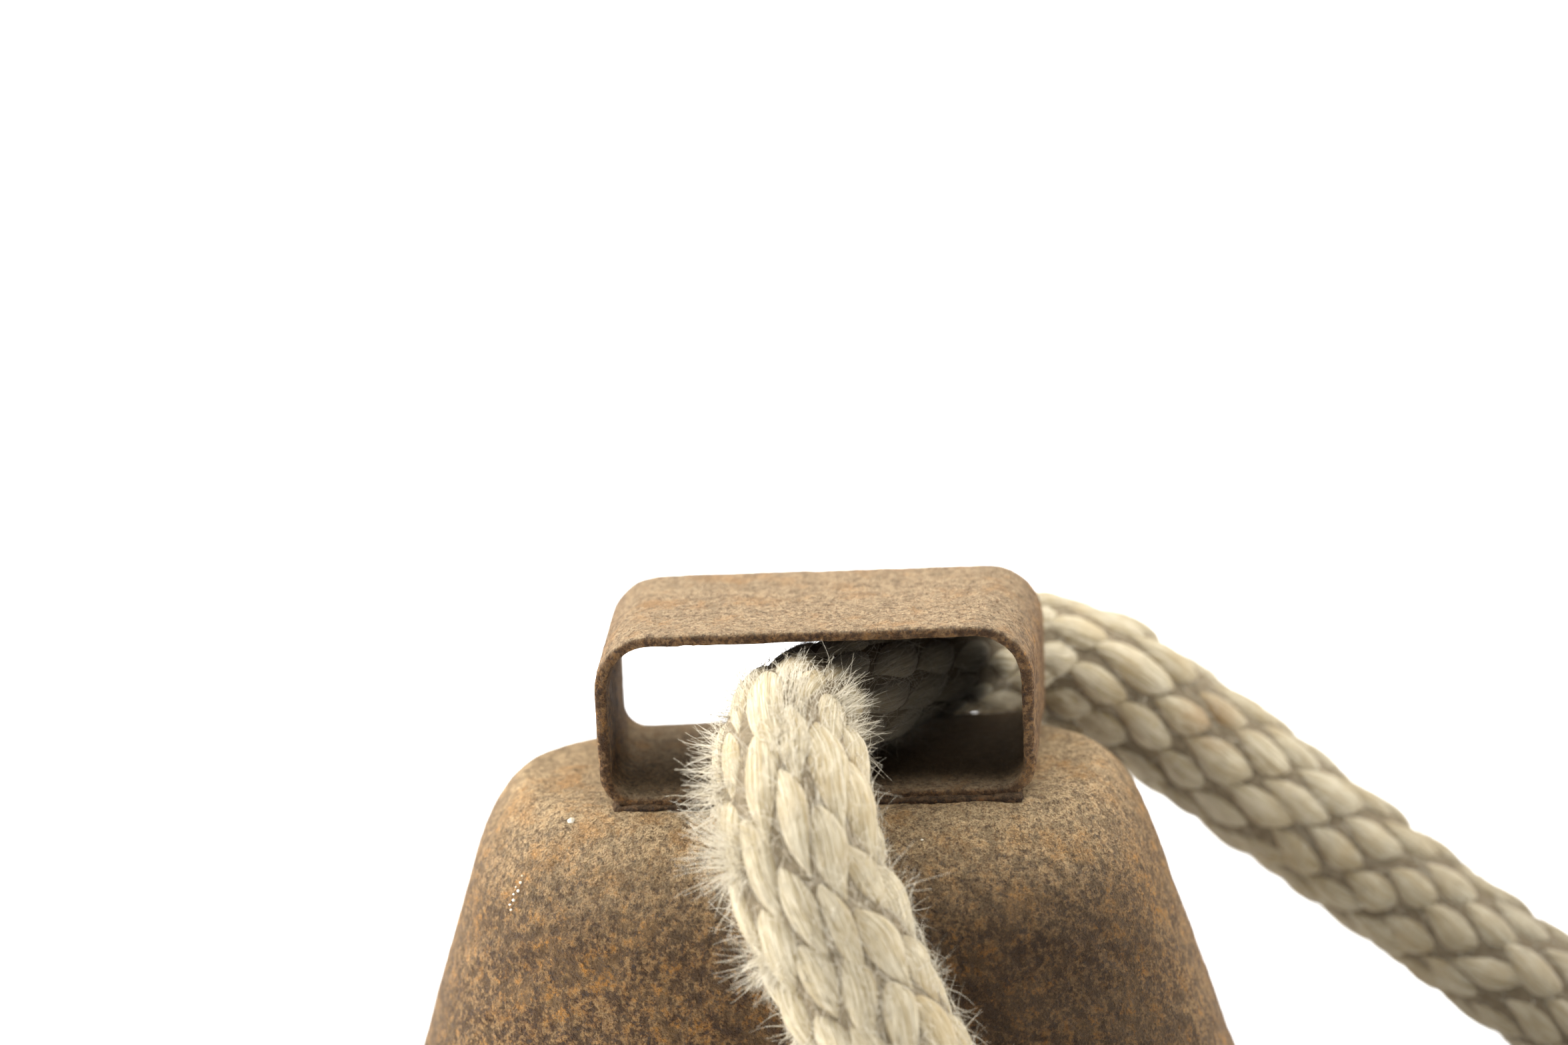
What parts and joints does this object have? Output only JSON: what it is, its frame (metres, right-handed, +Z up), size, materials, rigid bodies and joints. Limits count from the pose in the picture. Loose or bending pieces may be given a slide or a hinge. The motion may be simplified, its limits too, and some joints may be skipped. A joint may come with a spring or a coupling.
{
  "type": "cowbell",
  "caption": "Rustic sheet-iron cowbell with riveted side laps, a strap loop on its crown, a hanging ball clapper and a braided rope collar.",
  "frame": {"origin": "centre of the bell's mouth, on the plane its rim stands on", "axes": "+Z up through the crown, X across the wide face with the collar lying towards +X, front face towards -Y"},
  "size_m": [0.2295, 0.1341, 0.1199],
  "materials": {
    "rusted_sheet": "rough rust over hammered sheet iron",
    "rusted_strap": "rough pitted rust",
    "rusted_rivet": "rough rust",
    "dark_iron": "dark rust, worn where the pieces rub",
    "rope_fibre": "matt natural fibre braid, frayed",
    "twine_fibre": "matt natural twine"
  },
  "bodies": {
    "bell": {"bell_body": "rusted_sheet", "seam_rivets_left": "rusted_rivet", "seam_rivets_right": "rusted_rivet", "crown_strap": "rusted_strap", "clapper_staple": "dark_iron"},
    "link": {"clapper_link": "dark_iron"},
    "clapper": {"clapper_rod": "dark_iron", "clapper_ball": "dark_iron"},
    "collar": {"rope": "rope_fibre", "rope_seizing_inner": "twine_fibre", "rope_seizing_outer": "twine_fibre", "front_end_whipping": "twine_fibre", "rear_end_whipping": "twine_fibre"}
  },
  "joints": [
    {"name": "link_swing", "type": "hinge", "parent": "bell", "child": "link", "pos_m": [0.0012, 0, 0.082], "axis": [1, 0, 0], "range_deg": [-20, 20]},
    {"name": "clapper_swing", "type": "hinge", "parent": "link", "child": "clapper", "pos_m": [0.0012, 0, 0.07277], "axis": [0, 1, 0], "range_deg": [-45, 48]},
    {"name": "collar_swing", "type": "hinge", "parent": "bell", "child": "collar", "pos_m": [0.007, 0, 0.10875], "axis": [-0.5299, -0.848, 0], "range_deg": [0, 125]}
  ]
}
